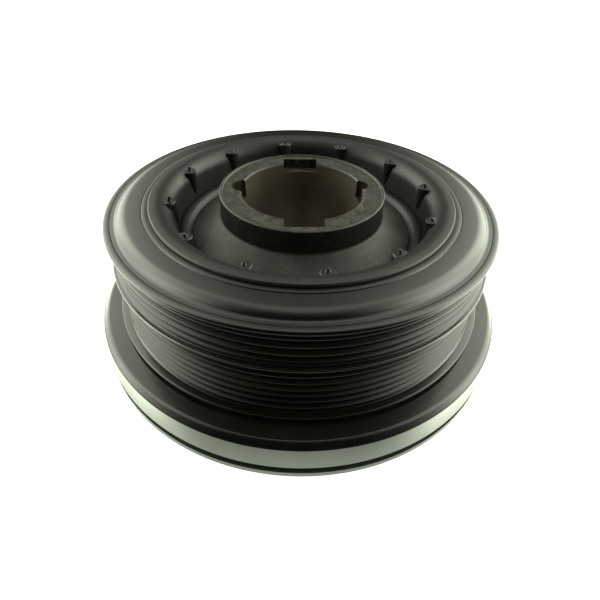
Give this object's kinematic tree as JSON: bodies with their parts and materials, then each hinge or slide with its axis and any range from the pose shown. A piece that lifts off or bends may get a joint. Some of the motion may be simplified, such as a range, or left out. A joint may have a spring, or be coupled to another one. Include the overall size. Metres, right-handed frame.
{
  "type": "harmonic balancer",
  "caption": "Decoupled crankshaft pulley and torsional damper with V-ribbed belt tracks, a rubber coupling with posts and a heavy bare-banded inertia ring.",
  "frame": {"origin": "centre of the rear face of the inertia ring, on the axis of rotation", "axes": "+Z along the crank axis towards the hub nose, +Y near the first driver keyway"},
  "size_m": [0.1882, 0.1882, 0.0682],
  "materials": {
    "cast_hub": "rough cast",
    "black_steel": "satin electrocoat",
    "bonded_ring_steel": "phosphated",
    "coupling_rubber": "moulded, matt",
    "damper_rubber": "moulded, matt",
    "bearing_polymer": "smooth",
    "inertia_iron": "turned, with a black-painted face"
  },
  "bodies": {
    "root": {"hub": "cast_hub", "coupling_inner_ring": "bonded_ring_steel", "coupling_rubber": "coupling_rubber", "front_ring": "black_steel", "belt_rim": "black_steel", "rim_bush": "bearing_polymer", "thrust_ring": "bearing_polymer", "damper_rubber": "damper_rubber", "inertia_ring": "inertia_iron"}
  },
  "joints": []
}
